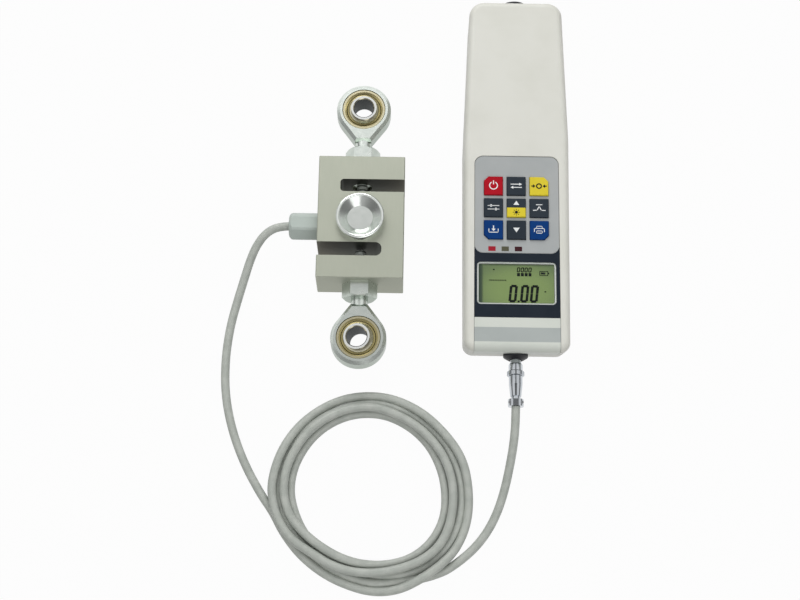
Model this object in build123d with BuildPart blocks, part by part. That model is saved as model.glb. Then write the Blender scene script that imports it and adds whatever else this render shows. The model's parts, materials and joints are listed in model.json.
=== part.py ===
from build123d import *
import os
from math import cos, radians, sin, sqrt, tan

# A hand-held force gauge with its external S-shaped load cell, joined by a coiled cord.
# Everything lies on a table at z = 0. +X runs from the cell to the display unit, +Y runs
# from the unit's plug end to its grip end, and +Z is up out of the display.
# The origin is on the table, under the middle of the unit and the cell.

# ---- driving dimensions, millimetres ------------------------------------------------

# display unit
UNIT_X = 50.45
UNIT_WIDTH = 61.9
PLUG_WIDTH = 60.6
UNIT_THICK = 36.0
GRIP_WIDTH = 55.4
GRIP_END_Y = 110.3
PLUG_END_Y = -112.1
END_LEAN = 7.7
TAPER_Y = 20.0
TAPER_BLEND = 160.0
GRIP_CORNER = 9.0
PLUG_CORNER = 6.0
FRONT_EDGE = 4.0
BACK_EDGE = 3.0
PARTING_Z = 18.0
PARTING_GROOVE = 0.5
WALL = 2.4
FRONT_WALL = 3.0

# inlaid front: keypad, display and end cover lie in one channel
PANEL_WIDTH = 49.1
PANEL_GAP = 0.2
PANEL_TOP_Y = 8.0
KEYPAD_BOTTOM_Y = -52.6
MASK_BOTTOM_Y = -91.6
PANEL_FACE_Z = 35.7
PANEL_THICK = 1.1
PANEL_CORNER = 5.0

# keys
KEY_WIDTH = 10.9
KEY_HEIGHT = 11.5
KEY_PITCH_X = 13.3
KEY_PITCH_Y = 13.7
KEY_CENTRE_X = -0.35
KEY_CENTRE_Y = -24.8
KEY_TOP_Z = 36.9
KEY_FOOT_Z = 31.8
KEY_FLANGE = 0.7
KEY_FLANGE_THICK = 0.8
KEY_PLAY = 0.2
KEY_CUT = 2.6
KEY_TRAVEL = 0.5

# status lights under the keys
LIGHT_WIDTH = 4.2
LIGHT_HEIGHT = 2.8
LIGHT_Y = -50.0
LIGHT_FIRST_X = -14.5
LIGHT_PITCH = 7.65

# display
DISPLAY_WIDTH = 45.6
DISPLAY_HEIGHT = 25.8
DISPLAY_X = -0.3
DISPLAY_Y = -70.8
DISPLAY_CORNER = 2.2
BEZEL_WIDTH = 0.9

# sockets at both ends of the unit
SOCKET_Z = 18.0
COLLAR_RADIUS = 7.2
COLLAR_BORE = 6.0
PLUG_FACE_Y = -110.0
COLLAR_CONE = 1.9
COLLAR_LIP = 0.2
GRIP_COLLAR_RADIUS = 8.6
GRIP_COLLAR_PROUD = 5.2
SOCKET_BORE = 3.7
CHARGE_BORE = 4.2
CHARGE_DEPTH = 7.5

# screws and inserts in the back
PLUG_SCREW = (24.4, -88.5)
GRIP_SCREW = (16.0, 103.4)
INSERT_SPACING_X = 44.0
INSERT_Y = (-66.0, -6.0)
INSERT_RADIUS = 2.8
INSERT_BORE = 2.0
INSERT_DEPTH = 8.0

# load cell block
CELL_X = -40.65
CELL_Y = -28.2
CELL_WIDTH = 51.0
CELL_LENGTH = 76.2
CELL_THICK = 28.2
CELL_MID_Z = CELL_THICK / 2
CELL_EDGE = 0.4
UPPER_SLOT = (15.6, 23.5)
LOWER_SLOT = (16.1, 24.5)
SLOT_END = 12.5
UPPER_SLOT_CORNER = 2.2
LOWER_SLOT_CORNER = 3.6
GAUGE_SHIFT = (-0.4, -1.2)
GAUGE_BORE = 12.8
WEB_THICK = 3.0
CAP_RADIUS = 14.3
CAP_HEIGHT = 5.0
CAP_RIM = 1.5
CAP_DISH = 7.5
CAP_FLOOR = 0.2
CAP_SHELL = 0.9
CAP_SEAT = 3.0

# rod ends: M12, ball bore 12
THREAD_RADIUS = 6.0
EYE_RADIUS = 16.3
EYE_THICK = 12.0
EYE_EDGE = 1.8
NECK_WIDTH = 9.8
NECK_REACH = 20.6
SHANK_RADIUS = 4.9
THREAD_IN = 13.2
TIP_RADIUS = 3.2
TIP_GAP = 0.8
EYE_UPPER_Y = CELL_Y + 72.4
EYE_LOWER_Y = CELL_Y - 71.8
RACE_RADIUS = 13.0
RACE_THICK = 11.4
RACE_SPHERE = 11.35
RACE_BEVEL = 1.1
BALL_RADIUS = 11.1
BALL_WIDTH = 16.0
BALL_BORE = 6.0
BALL_CHAMFER = 0.5
LOWER_BALL_LEAN = 7.0
NUT_FLATS = 18.0
NUT_THICK = 9.0

# cable gland on the cell
GLAND_Y = CELL_Y - 1.7
GLAND_FLATS = 15.0
GLAND_CORNER = 8.25
GLAND_BODY = 4.8
GLAND_NUT = 12.5
GLAND_THREAD = 4.0
CHANNEL_RADIUS = 2.4

# cord
CORD_RADIUS = 2.5
COIL_X = -30.4
COIL_Y = -187.5
COIL_HEIGHT = 12.6
COIL_OUTER = (61.6, 57.6)
COIL_INNER = (42.0, 39.6)
COIL_TILT = 125.0
COIL_INNER_SHIFT = (-2.6, 1.9)
COIL_EDGE = 4.0

# plug
PLUG_END = -139.5
RING_RADIUS = 5.0
SLEEVE_RADIUS = 4.1
RING_BORE = 3.35
PLUG_CORE = 3.3
BARREL_RADIUS = 3.95
BARREL_TIP = 3.2

# ---- derived places -----------------------------------------------------------------

CELL_LEFT = CELL_X - CELL_WIDTH / 2
CELL_BACK = CELL_Y + CELL_LENGTH / 2
CELL_FRONT = CELL_Y - CELL_LENGTH / 2
GLAND_END = CELL_LEFT - GLAND_BODY - GLAND_NUT
PANEL_UNDER_Z = PANEL_FACE_Z - PANEL_THICK
CAVITY_TOP_Z = UNIT_THICK - FRONT_WALL
BOARD_TOP_Z = 30.4
BOARD_THICK = 1.6

os.makedirs("parts", exist_ok=True)


def save(piece, name):
    """Labels a finished piece and writes it as its own node."""
    piece.label = name
    export_step(piece, f"parts/{name}.step")


def unit_plane(height):
    """A level plane whose local x = 0 is the unit's centreline."""
    return Plane(origin=(UNIT_X, 0, height))


def cell_plane(height):
    """A level plane centred on the load cell."""
    return Plane(origin=(CELL_X, CELL_Y, height))


def gauge_plane(height):
    """A level plane centred on the cell's gauge bore."""
    return Plane(origin=(CELL_X + GAUGE_SHIFT[0], CELL_Y + GAUGE_SHIFT[1], height))


def end_plane(x, y, height):
    """An upright plane that faces +Y, with its local y axis up."""
    return Plane(origin=(x, y, height), x_dir=(-1, 0, 0), z_dir=(0, 1, 0))


def turning_plane(x, y, height):
    """An upright plane along Y for a profile turned about the Y axis: local x is +Y."""
    return Plane(origin=(x, y, height), x_dir=(0, 1, 0), z_dir=(1, 0, 0))


# ---- the unit's form, shared by both shells and the end cover -------------------------


def unit_outline(inset, plug_end):
    """The plan of the unit at one height: it is widest near its middle and tapers to the grip."""
    plug = PLUG_WIDTH / 2 - inset
    half = UNIT_WIDTH / 2 - inset
    grip = GRIP_WIDTH / 2 - inset
    top = GRIP_END_Y - inset
    with BuildSketch() as outline:
        with BuildLine():
            Polyline(
                (-plug, plug_end), (plug, plug_end), (half, TAPER_Y),
                (grip, top), (-grip, top), (-half, TAPER_Y), close=True,
            )
        make_face()
        rows = outline.vertices().group_by(Axis.Y)
        fillet(rows[0], PLUG_CORNER - inset)
        fillet(outline.vertices().filter_by_position(Axis.Y, TAPER_Y - 1, TAPER_Y + 1), TAPER_BLEND)
        fillet(outline.vertices().filter_by_position(Axis.Y, top - 0.01, top + 0.01), GRIP_CORNER - inset)
    return outline.sketch


def unit_form(inset, floor, ceiling):
    """The whole unit as one solid, its plug end leaning under from front to back."""
    with BuildPart() as form:
        for height in (floor, ceiling):
            under = END_LEAN * (1 - height / UNIT_THICK)
            with BuildSketch(unit_plane(height)):
                add(unit_outline(inset, PLUG_END_Y + under + inset))
        loft(ruled=True)
        fillet(form.faces().sort_by(Axis.Z)[-1].edges(), FRONT_EDGE - inset)
        fillet(form.faces().sort_by(Axis.Z)[0].edges(), BACK_EDGE - inset)
    return form.part


def keypad_outline(grow):
    """The keypad panel's rounded rectangle, grown on every side."""
    middle = (PANEL_TOP_Y + KEYPAD_BOTTOM_Y) / 2
    tall = PANEL_TOP_Y - KEYPAD_BOTTOM_Y
    with BuildSketch() as outline:
        with Locations((0, middle)):
            RectangleRounded(PANEL_WIDTH + 2 * grow, tall + 2 * grow, PANEL_CORNER + grow)
    return outline.sketch


def key_outline(grow, cut=None):
    """One key's square, grown on every side, with an optional cut corner at (sx, sy)."""
    with BuildSketch() as outline:
        Rectangle(KEY_WIDTH + 2 * grow, KEY_HEIGHT + 2 * grow)
        if cut:
            corner = outline.vertices().sort_by_distance((cut[0] * KEY_WIDTH, cut[1] * KEY_HEIGHT))[0]
            chamfer(corner, KEY_CUT + grow * (2 - sqrt(2)))
    return outline.sketch


KEYS = {
    "key_power": (-1, 1, (-1, 1)),
    "key_unit": (0, 1, None),
    "key_zero": (1, 1, (1, 1)),
    "key_set": (-1, 0, None),
    "key_up": (0, 0, None),
    "key_peak": (1, 0, None),
    "key_memory": (-1, -1, (-1, -1)),
    "key_down": (0, -1, None),
    "key_print": (1, -1, (1, -1)),
}


def key_place(column, row):
    """The middle of a key in the unit's plan."""
    return (KEY_CENTRE_X + column * KEY_PITCH_X, KEY_CENTRE_Y + row * KEY_PITCH_Y)


def front_openings():
    """The outlines of the key and light openings."""
    for column, row, cut in KEYS.values():
        with Locations(key_place(column, row)):
            add(key_outline(KEY_PLAY, cut))
    with Locations(*[(LIGHT_FIRST_X + n * LIGHT_PITCH, LIGHT_Y) for n in range(3)]):
        Rectangle(LIGHT_WIDTH, LIGHT_HEIGHT)


outer_form = unit_form(0, 0, UNIT_THICK)
cavity_form = unit_form(WALL, WALL, CAVITY_TOP_Z)

# ---- front housing ------------------------------------------------------------------

BOSS_RADIUS = 3.0
SCREW_PLACES = [(side * x, y) for side in (-1, 1) for x, y in (PLUG_SCREW, GRIP_SCREW)]
INSERT_PLACES = [(side * INSERT_SPACING_X / 2, y) for side in (-1, 1) for y in INSERT_Y]

with BuildPart() as front_housing:
    add(outer_form)
    add(cavity_form, mode=Mode.SUBTRACT)
    with BuildSketch(unit_plane(PARTING_Z)):
        with Locations(*SCREW_PLACES):
            Circle(BOSS_RADIUS)
    extrude(amount=CAVITY_TOP_Z - PARTING_Z + 0.4)
    with BuildSketch(unit_plane(PARTING_Z)):
        with Locations(*SCREW_PLACES):
            Circle(1.2)
    extrude(amount=10, mode=Mode.SUBTRACT)
    split(bisect_by=Plane.XY.offset(PARTING_Z), keep=Keep.TOP)
    # the channel for the keypad and the display, open towards the plug end
    with BuildSketch(unit_plane(PANEL_UNDER_Z)):
        add(keypad_outline(PANEL_GAP))
        with Locations((0, (KEYPAD_BOTTOM_Y + MASK_BOTTOM_Y) / 2)):
            Rectangle(PANEL_WIDTH + 2 * PANEL_GAP, KEYPAD_BOTTOM_Y - MASK_BOTTOM_Y + 8)
    extrude(amount=UNIT_THICK, mode=Mode.SUBTRACT)
    # the place of the end cover, through the wall
    with BuildSketch(unit_plane(PARTING_Z)):
        with Locations((0, (PLUG_END_Y + MASK_BOTTOM_Y) / 2 - 10)):
            Rectangle(PANEL_WIDTH + 2 * PANEL_GAP, MASK_BOTTOM_Y - PLUG_END_Y + 20)
    extrude(amount=UNIT_THICK, mode=Mode.SUBTRACT)
    with BuildSketch(unit_plane(CAVITY_TOP_Z - 1)):
        front_openings()
        with Locations((DISPLAY_X, DISPLAY_Y)):
            Rectangle(DISPLAY_WIDTH - 2 * BEZEL_WIDTH, DISPLAY_HEIGHT - 2 * BEZEL_WIDTH)
    extrude(amount=UNIT_THICK, mode=Mode.SUBTRACT)
    # parting groove round the outside and the hole for the grip end's collar
    with BuildSketch(unit_plane(PARTING_Z)):
        add(unit_outline(-1, PLUG_END_Y - 1))
        add(unit_outline(PARTING_GROOVE, PLUG_END_Y + END_LEAN / 2 + PARTING_GROOVE), mode=Mode.SUBTRACT)
    extrude(amount=PARTING_GROOVE / 2, mode=Mode.SUBTRACT)
    with BuildSketch(end_plane(UNIT_X, GRIP_END_Y - 6, SOCKET_Z)):
        Circle(COLLAR_RADIUS - 1)
    extrude(amount=10, mode=Mode.SUBTRACT)
save(front_housing.part, "front_housing")

# ---- rear housing -------------------------------------------------------------------

CELL_RADIUS = 7.1
CELL_SPACING = 14.5
CELL_AXIS_Z = WALL + 0.8 + CELL_RADIUS
CELL_REACH = 50.0
BATTERY_Y = 0.0
BATTERY_GAP = 0.4
CRADLE_Y = (17.0, 41.0, 67.0, 91.0)

with BuildPart() as rear_housing:
    add(outer_form)
    add(cavity_form, mode=Mode.SUBTRACT)
    with BuildSketch(unit_plane(1)):
        with Locations(*SCREW_PLACES):
            Circle(BOSS_RADIUS + 0.8)
        with Locations(*INSERT_PLACES):
            Circle(INSERT_RADIUS + 1.2)
    extrude(amount=10)
    with BuildSketch(unit_plane(WALL)):
        with Locations(*SCREW_PLACES):
            Circle(BOSS_RADIUS)
    extrude(amount=PARTING_Z - WALL)
    for y in CRADLE_Y:
        with BuildSketch(end_plane(UNIT_X, y, 0)):
            with Locations((0, (WALL + CELL_AXIS_Z) / 2 - 0.5)):
                Rectangle(3 * CELL_SPACING, CELL_AXIS_Z - WALL + 1)
        extrude(amount=1.6)
    # the battery's three troughs cut the cradle ribs and the bosses hollow
    with BuildSketch(end_plane(UNIT_X, BATTERY_Y - 0.4, 0)):
        with Locations(*[(n * CELL_SPACING, CELL_AXIS_Z) for n in (-1, 0, 1)]):
            Circle(CELL_RADIUS + 0.05)
    extrude(amount=2 * CELL_REACH + BATTERY_GAP + 0.8, mode=Mode.SUBTRACT)
    split(bisect_by=Plane.XY.offset(PARTING_Z), keep=Keep.BOTTOM)
    with BuildSketch(unit_plane(PARTING_Z)):
        add(unit_outline(-1, PLUG_END_Y - 1))
        add(unit_outline(PARTING_GROOVE, PLUG_END_Y + END_LEAN / 2 + PARTING_GROOVE), mode=Mode.SUBTRACT)
    extrude(amount=-PARTING_GROOVE / 2, mode=Mode.SUBTRACT)
    # screw wells, insert seats and the two collar holes
    with BuildSketch(unit_plane(0)):
        with Locations(*SCREW_PLACES):
            Circle(1.6)
    extrude(amount=PARTING_Z, mode=Mode.SUBTRACT)
    with BuildSketch(unit_plane(0)):
        with Locations(*SCREW_PLACES):
            Circle(2.9)
    extrude(amount=5, mode=Mode.SUBTRACT)
    with BuildSketch(unit_plane(0)):
        with Locations(*INSERT_PLACES):
            Circle(INSERT_RADIUS)
    extrude(amount=INSERT_DEPTH, mode=Mode.SUBTRACT)
    with BuildSketch(end_plane(UNIT_X, GRIP_END_Y - 6, SOCKET_Z)):
        Circle(COLLAR_RADIUS - 1)
    extrude(amount=10, mode=Mode.SUBTRACT)
    with BuildSketch(end_plane(UNIT_X, PLUG_FACE_Y - 2, SOCKET_Z)):
        Circle(COLLAR_RADIUS)
    extrude(amount=10, mode=Mode.SUBTRACT)
save(rear_housing.part, "rear_housing")

with BuildPart() as mounting_inserts:
    with BuildSketch(unit_plane(0)):
        with Locations(*INSERT_PLACES):
            Circle(INSERT_RADIUS)
            Circle(INSERT_BORE, mode=Mode.SUBTRACT)
    extrude(amount=INSERT_DEPTH)
save(mounting_inserts.part, "mounting_inserts")

with BuildPart() as housing_screws:
    with BuildSketch(unit_plane(2.6)):
        with Locations(*SCREW_PLACES):
            Circle(2.75)
    extrude(amount=2.4)
    with BuildSketch(unit_plane(5)):
        with Locations(*SCREW_PLACES):
            Circle(1.2)
    extrude(amount=20)
    with BuildSketch(unit_plane(2.6)):
        with Locations(*SCREW_PLACES):
            Rectangle(3.2, 0.7)
            Rectangle(0.7, 3.2)
    extrude(amount=1.2, mode=Mode.SUBTRACT)
save(housing_screws.part, "housing_screws")

# ---- end cover with its label band ----------------------------------------------------

LABEL_Y = (-97.6, -106.2)
LABEL_DEPTH = 0.3

with BuildPart() as end_cover:
    add(outer_form)
    add(cavity_form, mode=Mode.SUBTRACT)
    with BuildSketch(unit_plane(PARTING_Z)):
        with Locations((0, PLUG_END_Y + (MASK_BOTTOM_Y - PANEL_GAP - PLUG_END_Y) / 2 - 5)):
            Rectangle(PANEL_WIDTH, MASK_BOTTOM_Y - PANEL_GAP - PLUG_END_Y + 10)
    extrude(amount=UNIT_THICK, mode=Mode.INTERSECT)
    with BuildSketch(unit_plane(UNIT_THICK - LABEL_DEPTH)):
        with Locations((0, (LABEL_Y[0] + LABEL_Y[1]) / 2)):
            Rectangle(PANEL_WIDTH, LABEL_Y[0] - LABEL_Y[1])
    extrude(amount=2, mode=Mode.SUBTRACT)
    with BuildSketch(end_plane(UNIT_X, PLUG_FACE_Y - 2, SOCKET_Z)):
        Circle(COLLAR_RADIUS)
    extrude(amount=10, mode=Mode.SUBTRACT)
save(end_cover.part, "end_cover")

with BuildPart() as label_plate:
    with BuildSketch(unit_plane(UNIT_THICK - LABEL_DEPTH)):
        with Locations((0, (LABEL_Y[0] + LABEL_Y[1]) / 2)):
            Rectangle(PANEL_WIDTH, LABEL_Y[0] - LABEL_Y[1])
    extrude(amount=LABEL_DEPTH)
save(label_plate.part, "label_plate")

# ---- keypad panel, keys and lights ----------------------------------------------------

with BuildPart() as keypad_panel:
    with BuildSketch(unit_plane(PANEL_UNDER_Z)) as panel_sketch:
        add(keypad_outline(0))
    extrude(amount=PANEL_THICK)
    chamfer(keypad_panel.faces().sort_by(Axis.Z)[-1].edges(), 0.25)
    with BuildSketch(unit_plane(PANEL_UNDER_Z)):
        front_openings()
    extrude(amount=PANEL_THICK, mode=Mode.SUBTRACT)
save(keypad_panel.part, "keypad_panel")

for name, (column, row, cut) in KEYS.items():
    with BuildPart() as key:
        place = key_place(column, row)
        with BuildSketch(unit_plane(KEY_FOOT_Z)):
            with Locations(place):
                add(key_outline(KEY_FLANGE))
        extrude(amount=KEY_FLANGE_THICK)
        with BuildSketch(unit_plane(KEY_FOOT_Z)):
            with Locations(place):
                add(key_outline(0, cut))
        extrude(amount=KEY_TOP_Z - KEY_FOOT_Z)
        chamfer(key.faces().sort_by(Axis.Z)[-1].edges(), 0.3)
    save(key.part, name)

for n, name in enumerate(("status_light_left", "status_light_middle", "status_light_right")):
    with BuildPart() as status_light:
        with BuildSketch(unit_plane(BOARD_TOP_Z)):
            with Locations((LIGHT_FIRST_X + n * LIGHT_PITCH, LIGHT_Y)):
                Rectangle(LIGHT_WIDTH, LIGHT_HEIGHT)
        extrude(amount=PANEL_FACE_Z + 0.1 - BOARD_TOP_Z)
    save(status_light.part, name)

# ---- display --------------------------------------------------------------------------

with BuildPart() as display_mask:
    with BuildSketch(unit_plane(PANEL_UNDER_Z)):
        with Locations((0, (KEYPAD_BOTTOM_Y + MASK_BOTTOM_Y) / 2)):
            Rectangle(PANEL_WIDTH, KEYPAD_BOTTOM_Y - MASK_BOTTOM_Y + 8 - 2 * PANEL_GAP)
        with Locations((0, MASK_BOTTOM_Y - 2)):
            Rectangle(PANEL_WIDTH + 1, 4, mode=Mode.SUBTRACT)
        add(keypad_outline(PANEL_GAP / 2), mode=Mode.SUBTRACT)
        with Locations((DISPLAY_X, DISPLAY_Y)):
            RectangleRounded(DISPLAY_WIDTH, DISPLAY_HEIGHT, DISPLAY_CORNER, mode=Mode.SUBTRACT)
    extrude(amount=PANEL_THICK)
save(display_mask.part, "display_mask")

with BuildPart() as display_window:
    with BuildSketch(unit_plane(PANEL_FACE_Z - 0.7)):
        with Locations((DISPLAY_X, DISPLAY_Y)):
            RectangleRounded(DISPLAY_WIDTH, DISPLAY_HEIGHT, DISPLAY_CORNER)
    extrude(amount=0.7)
save(display_window.part, "display_window")

with BuildPart() as display_bezel:
    with BuildSketch(unit_plane(PANEL_UNDER_Z)):
        with Locations((DISPLAY_X, DISPLAY_Y)):
            RectangleRounded(DISPLAY_WIDTH, DISPLAY_HEIGHT, DISPLAY_CORNER)
            RectangleRounded(
                DISPLAY_WIDTH - 2 * BEZEL_WIDTH, DISPLAY_HEIGHT - 2 * BEZEL_WIDTH,
                DISPLAY_CORNER - BEZEL_WIDTH, mode=Mode.SUBTRACT,
            )
    extrude(amount=PANEL_THICK - 0.7)
save(display_bezel.part, "display_bezel")

LCD_MARGIN = 1.2
with BuildPart() as lcd_panel:
    with BuildSketch(unit_plane(CAVITY_TOP_Z)):
        with Locations((DISPLAY_X, DISPLAY_Y)):
            Rectangle(DISPLAY_WIDTH - 2 * LCD_MARGIN, DISPLAY_HEIGHT - 2 * LCD_MARGIN)
    extrude(amount=PANEL_UNDER_Z - CAVITY_TOP_Z)
save(lcd_panel.part, "lcd_panel")

with BuildPart() as lcd_backlight:
    with BuildSketch(unit_plane(BOARD_TOP_Z)):
        with Locations((DISPLAY_X, DISPLAY_Y)):
            Rectangle(DISPLAY_WIDTH, DISPLAY_HEIGHT + 2)
    extrude(amount=CAVITY_TOP_Z - BOARD_TOP_Z)
    chamfer(lcd_backlight.faces().sort_by(Axis.Z)[0].edges(), 0.4)
save(lcd_backlight.part, "lcd_backlight")

# ---- electronics and battery -----------------------------------------------------------

BOARD_WIDTH = 42.4
BOARD_TOP_Y = 12.0
BOARD_BOTTOM_Y = -100.0

with BuildPart() as main_board:
    with BuildSketch(unit_plane(BOARD_TOP_Z - BOARD_THICK)):
        with Locations((0, (BOARD_TOP_Y + BOARD_BOTTOM_Y) / 2)):
            RectangleRounded(BOARD_WIDTH, BOARD_TOP_Y - BOARD_BOTTOM_Y, 1.5)
    extrude(amount=BOARD_THICK)
save(main_board.part, "main_board")

with BuildPart() as key_switches:
    for column, row, cut in KEYS.values():
        with BuildSketch(unit_plane(BOARD_TOP_Z)):
            with Locations(key_place(column, row)):
                Circle(3)
        extrude(amount=0.8)
save(key_switches.part, "key_switches")

CHIPS = (((0, -20), 14, 14), ((-12, -60), 8, 12), ((12, -62), 6, 9), ((6, -88), 7, 7))
with BuildPart() as board_chips:
    for place, wide, tall in CHIPS:
        with BuildSketch(unit_plane(BOARD_TOP_Z - BOARD_THICK)):
            with Locations(place):
                Rectangle(wide, tall)
        extrude(amount=-1.8)
save(board_chips.part, "board_chips")

with BuildPart() as battery_cells:
    for y in (BATTERY_Y, BATTERY_Y + CELL_REACH + BATTERY_GAP):
        with BuildSketch(end_plane(UNIT_X, y, 0)):
            with Locations(*[(n * CELL_SPACING, CELL_AXIS_Z) for n in (-1, 0, 1)]):
                Circle(CELL_RADIUS)
        extrude(amount=CELL_REACH)
save(battery_cells.part, "battery_cells")

# ---- sockets at the ends of the unit ---------------------------------------------------

with BuildPart() as socket_collar:
    with BuildSketch(turning_plane(UNIT_X, PLUG_FACE_Y, SOCKET_Z)):
        with BuildLine():
            Polyline(
                (8.0, COLLAR_BORE), (8.0, COLLAR_RADIUS), (0, COLLAR_RADIUS), (-0.3, COLLAR_RADIUS - 0.2),
                (-COLLAR_CONE, PLUG_CORE + 1.1), (-COLLAR_CONE, SOCKET_BORE), (COLLAR_LIP, SOCKET_BORE),
                (COLLAR_LIP, COLLAR_BORE), close=True,
            )
        make_face()
    revolve(axis=Axis((UNIT_X, 0, SOCKET_Z), (0, 1, 0)))
save(socket_collar.part, "socket_collar")

with BuildPart() as sensor_socket:
    with BuildSketch(end_plane(UNIT_X, PLUG_FACE_Y + COLLAR_LIP, SOCKET_Z)):
        Circle(COLLAR_BORE)
        Circle(SOCKET_BORE, mode=Mode.SUBTRACT)
    extrude(amount=10)
    with BuildSketch(end_plane(UNIT_X, PLUG_FACE_Y + 8, SOCKET_Z)):
        Circle(COLLAR_BORE)
    extrude(amount=4)
save(sensor_socket.part, "sensor_socket")

with BuildPart() as grip_collar:
    with BuildSketch(turning_plane(UNIT_X, GRIP_END_Y, SOCKET_Z)):
        with BuildLine():
            Polyline(
                (0, COLLAR_RADIUS - 1), (0, GRIP_COLLAR_RADIUS),
                (GRIP_COLLAR_PROUD - 0.8, GRIP_COLLAR_RADIUS), (GRIP_COLLAR_PROUD, GRIP_COLLAR_RADIUS - 0.8),
                (GRIP_COLLAR_PROUD, CHARGE_BORE), (-4.0, CHARGE_BORE), (-4.0, COLLAR_RADIUS - 1), close=True,
            )
        make_face()
    revolve(axis=Axis((UNIT_X, 0, SOCKET_Z), (0, 1, 0)))
save(grip_collar.part, "grip_collar")

with BuildPart() as charging_socket:
    with BuildSketch(end_plane(UNIT_X, GRIP_END_Y - CHARGE_DEPTH - 1, SOCKET_Z)):
        Circle(COLLAR_RADIUS - 1)
    extrude(amount=CHARGE_DEPTH - 3)
    with BuildSketch(end_plane(UNIT_X, GRIP_END_Y - CHARGE_DEPTH + 1, SOCKET_Z)):
        Circle(CHARGE_BORE)
    extrude(amount=20, mode=Mode.SUBTRACT)
save(charging_socket.part, "charging_socket")

# ---- load cell ------------------------------------------------------------------------

with BuildPart() as sensor_body:
    with BuildSketch(cell_plane(0)):
        Rectangle(CELL_WIDTH, CELL_LENGTH)
    extrude(amount=CELL_THICK)
    chamfer(sensor_body.edges(), CELL_EDGE)
    # two slots, one open to each side, leave the block shaped like an S
    half = CELL_WIDTH / 2
    for (near, far), corner, side in ((UPPER_SLOT, UPPER_SLOT_CORNER, 1), (LOWER_SLOT, LOWER_SLOT_CORNER, -1)):
        with BuildSketch(cell_plane(0)) as slot:
            with Locations((side * (half + 5 - SLOT_END) / 2, side * (near + far) / 2)):
                Rectangle(half + 5 + SLOT_END, far - near)
            closed = slot.vertices().group_by(Axis.X)[0 if side > 0 else -1]
            fillet(closed, corner)
        extrude(amount=CELL_THICK, mode=Mode.SUBTRACT)
    # threaded holes for the rod ends, from each end face into a slot
    for face_y, reach in ((CELL_BACK, -18), (CELL_FRONT, 18)):
        with BuildSketch(end_plane(CELL_X, face_y, CELL_MID_Z)):
            Circle(THREAD_RADIUS)
        extrude(amount=reach, mode=Mode.SUBTRACT)
    # gauge bore from both faces, with a thin web left in the middle
    for height, amount in ((0, 1), (CELL_THICK, -1)):
        with BuildSketch(gauge_plane(height)):
            Circle(GAUGE_BORE)
        extrude(amount=amount * (CELL_THICK - WEB_THICK) / 2, mode=Mode.SUBTRACT)
    # cable channel and gland thread
    with BuildSketch(Plane(origin=(CELL_LEFT, GLAND_Y, CELL_MID_Z), z_dir=(1, 0, 0))):
        Circle(GLAND_THREAD)
    extrude(amount=6, mode=Mode.SUBTRACT)
    with BuildSketch(Plane(origin=(CELL_LEFT, GLAND_Y, CELL_MID_Z), z_dir=(1, 0, 0))):
        Circle(CHANNEL_RADIUS)
    extrude(amount=half - 9, mode=Mode.SUBTRACT)
save(sensor_body.part, "sensor_body")

with BuildPart() as sensor_cap_front:
    # a turned shell: a spigot in the bore, an upright rim and a cone down to a flat floor
    plane = gauge_plane(CELL_THICK)
    with BuildSketch(Plane(origin=plane.origin, x_dir=(1, 0, 0), z_dir=(0, -1, 0))):
        with BuildLine():
            crown = CAP_HEIGHT
            inner = CAP_RADIUS - CAP_RIM
            Polyline((0, CAP_FLOOR), (CAP_DISH, CAP_FLOOR), (inner - 0.6, crown - 0.5))
            ThreePointArc((inner - 0.6, crown - 0.5), (inner - 0.2, crown - 0.12), (inner + 0.2, crown))
            ThreePointArc((inner + 0.2, crown), (CAP_RADIUS - 0.3, crown - 0.4), (CAP_RADIUS, crown - 1.3))
            Polyline(
                (CAP_RADIUS, crown - 1.3), (CAP_RADIUS, 0), (GAUGE_BORE, 0), (GAUGE_BORE, -CAP_SEAT),
                (GAUGE_BORE - CAP_SHELL, -CAP_SEAT), (GAUGE_BORE - CAP_SHELL, crown - 2.6),
                (CAP_DISH + 0.5, CAP_FLOOR - CAP_SHELL), (0, CAP_FLOOR - CAP_SHELL), (0, CAP_FLOOR),
            )
        make_face()
    revolve(axis=Axis(plane.origin, (0, 0, 1)))
save(sensor_cap_front.part, "sensor_cap_front")

with BuildPart() as sensor_cap_rear:
    with BuildSketch(gauge_plane(0.4)):
        Circle(GAUGE_BORE)
    extrude(amount=1.6)
    chamfer(sensor_cap_rear.faces().sort_by(Axis.Z)[0].edges(), 0.5)
save(sensor_cap_rear.part, "sensor_cap_rear")

WEB_TOP_Z = (CELL_THICK + WEB_THICK) / 2
WEB_UNDER_Z = (CELL_THICK - WEB_THICK) / 2
with BuildPart() as strain_gauges:
    for height, up in ((WEB_TOP_Z, 1), (WEB_UNDER_Z, -1)):
        with BuildSketch(gauge_plane(height)):
            with Locations(Location((3, 5), 45), Location((3, -5), -45)):
                Rectangle(7, 4)
        extrude(amount=0.3 * up)
save(strain_gauges.part, "strain_gauges")

with BuildPart() as bridge_board:
    with BuildSketch(gauge_plane(WEB_TOP_Z)):
        with Locations((-6, 0)):
            RectangleRounded(6, 14, 1)
    extrude(amount=1.0)
save(bridge_board.part, "bridge_board")

# ---- rod ends, races, balls and jam nuts -----------------------------------------------


def eye_plane(eye_y):
    """A level plane at an eye's centre, with its local y axis towards the cell."""
    towards = 1 if eye_y < CELL_Y else -1
    return Plane(origin=(CELL_X, eye_y, CELL_MID_Z), x_dir=(towards, 0, 0), z_dir=(0, 0, 1))


def shank_plane(plane, reach):
    """A plane across the shank at a distance from the eye's centre."""
    return Plane(origin=plane.origin + plane.y_dir * reach, z_dir=plane.y_dir)


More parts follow.
